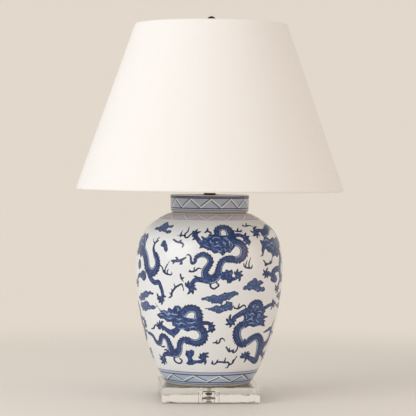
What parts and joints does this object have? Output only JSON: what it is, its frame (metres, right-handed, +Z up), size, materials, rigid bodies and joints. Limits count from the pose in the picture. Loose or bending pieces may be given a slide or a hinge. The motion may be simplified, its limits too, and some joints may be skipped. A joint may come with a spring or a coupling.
{
  "type": "table lamp",
  "caption": "Ginger jar table lamp: painted ceramic jar and lid on a clear square foot, with a lampholder, harp and tapered white cloth shade under a small ball finial.",
  "frame": {"origin": "on the surface that the lamp stands on, under the lamp's axis", "axes": "+Z up along the pipe; -Y is the front, where the switch knob points; +Y is the back, where the cord goes in; the foot block is square to X and Y"},
  "size_m": [0.4571, 0.4572, 0.6547],
  "materials": {
    "clear_acrylic": "polished clear acrylic",
    "clear_pad": "soft clear bumper",
    "zinc_steel": "zinc plated, satin",
    "blue_and_white_glaze": "clear gloss glaze over cobalt blue painting on white, bare clay at the foot and under the lid",
    "cord_bushing": "moulded, semi gloss",
    "dark_bronze": "oil rubbed bronze, satin",
    "socket_brass": "satin brass",
    "insulating_board": "matte pressed board",
    "moulded_body": "moulded black",
    "bright_brass": "bright brass",
    "screw_shell_aluminium": "drawn aluminium",
    "spider_brass": "brass plated wire",
    "ring_wire": "white powder coat",
    "shade_linen": "fine white woven cloth on a stiff backing",
    "knob_plastic": "moulded, semi gloss",
    "bulb_metal": "plated",
    "frosted_glass": "soft white frosted glass"
  },
  "bodies": {
    "lamp_base": {"base_block": "clear_acrylic", "base_pads": "clear_pad", "base_washer": "zinc_steel", "base_nut": "zinc_steel", "lamp_pipe": "zinc_steel", "jar_body": "blue_and_white_glaze", "cord_bushing": "cord_bushing", "jar_lid": "blue_and_white_glaze", "vase_cap": "dark_bronze", "top_washer": "zinc_steel", "top_nut": "dark_bronze", "harp_saddle": "dark_bronze", "harp": "dark_bronze", "socket_cap": "socket_brass", "set_screw": "zinc_steel", "socket_shell": "socket_brass", "socket_liner": "insulating_board", "socket_body": "moulded_body", "terminal_screws": "bright_brass", "socket_screw_shell": "screw_shell_aluminium", "socket_contact": "bright_brass"},
    "swivel": {"harp_stud": "dark_bronze"},
    "shade": {"shade_spider": "spider_brass", "shade_top_ring": "ring_wire", "shade_bottom_ring": "ring_wire", "shade_fabric": "shade_linen"},
    "finial": {"finial": "dark_bronze"},
    "switch": {"switch_shaft": "zinc_steel", "switch_knob": "knob_plastic"},
    "left_sleeve": {"sleeve_left": "dark_bronze"},
    "right_sleeve": {"sleeve_right": "dark_bronze"},
    "bulb": {"bulb_base": "bulb_metal", "bulb_globe": "frosted_glass"}
  },
  "joints": [
    {"name": "swivel_turn", "type": "hinge", "parent": "lamp_base", "child": "swivel", "pos_m": [0, 0, 0.6226], "axis": [0, 0, 1], "continuous": true},
    {"name": "shade_lift", "type": "slide", "parent": "swivel", "child": "shade", "axis": [0, 0, 1], "range_m": [0, 0.3]},
    {"name": "finial_turn", "type": "hinge", "parent": "shade", "child": "finial", "pos_m": [0, 0, 0.6268], "axis": [0, 0, 1], "continuous": true},
    {"name": "switch_turn", "type": "hinge", "parent": "lamp_base", "child": "switch", "pos_m": [0, -0.0215, 0.3861], "axis": [0, -1, 0], "continuous": true},
    {"name": "sleeve_left_lift", "type": "slide", "parent": "lamp_base", "child": "left_sleeve", "axis": [0, 0, 1], "range_m": [0, 0.02]},
    {"name": "sleeve_right_lift", "type": "slide", "parent": "lamp_base", "child": "right_sleeve", "axis": [0, 0, 1], "range_m": [0, 0.02]},
    {"name": "bulb_turn", "type": "hinge", "parent": "lamp_base", "child": "bulb", "pos_m": [0, 0, 0.395], "axis": [0, 0, 1], "continuous": true}
  ]
}
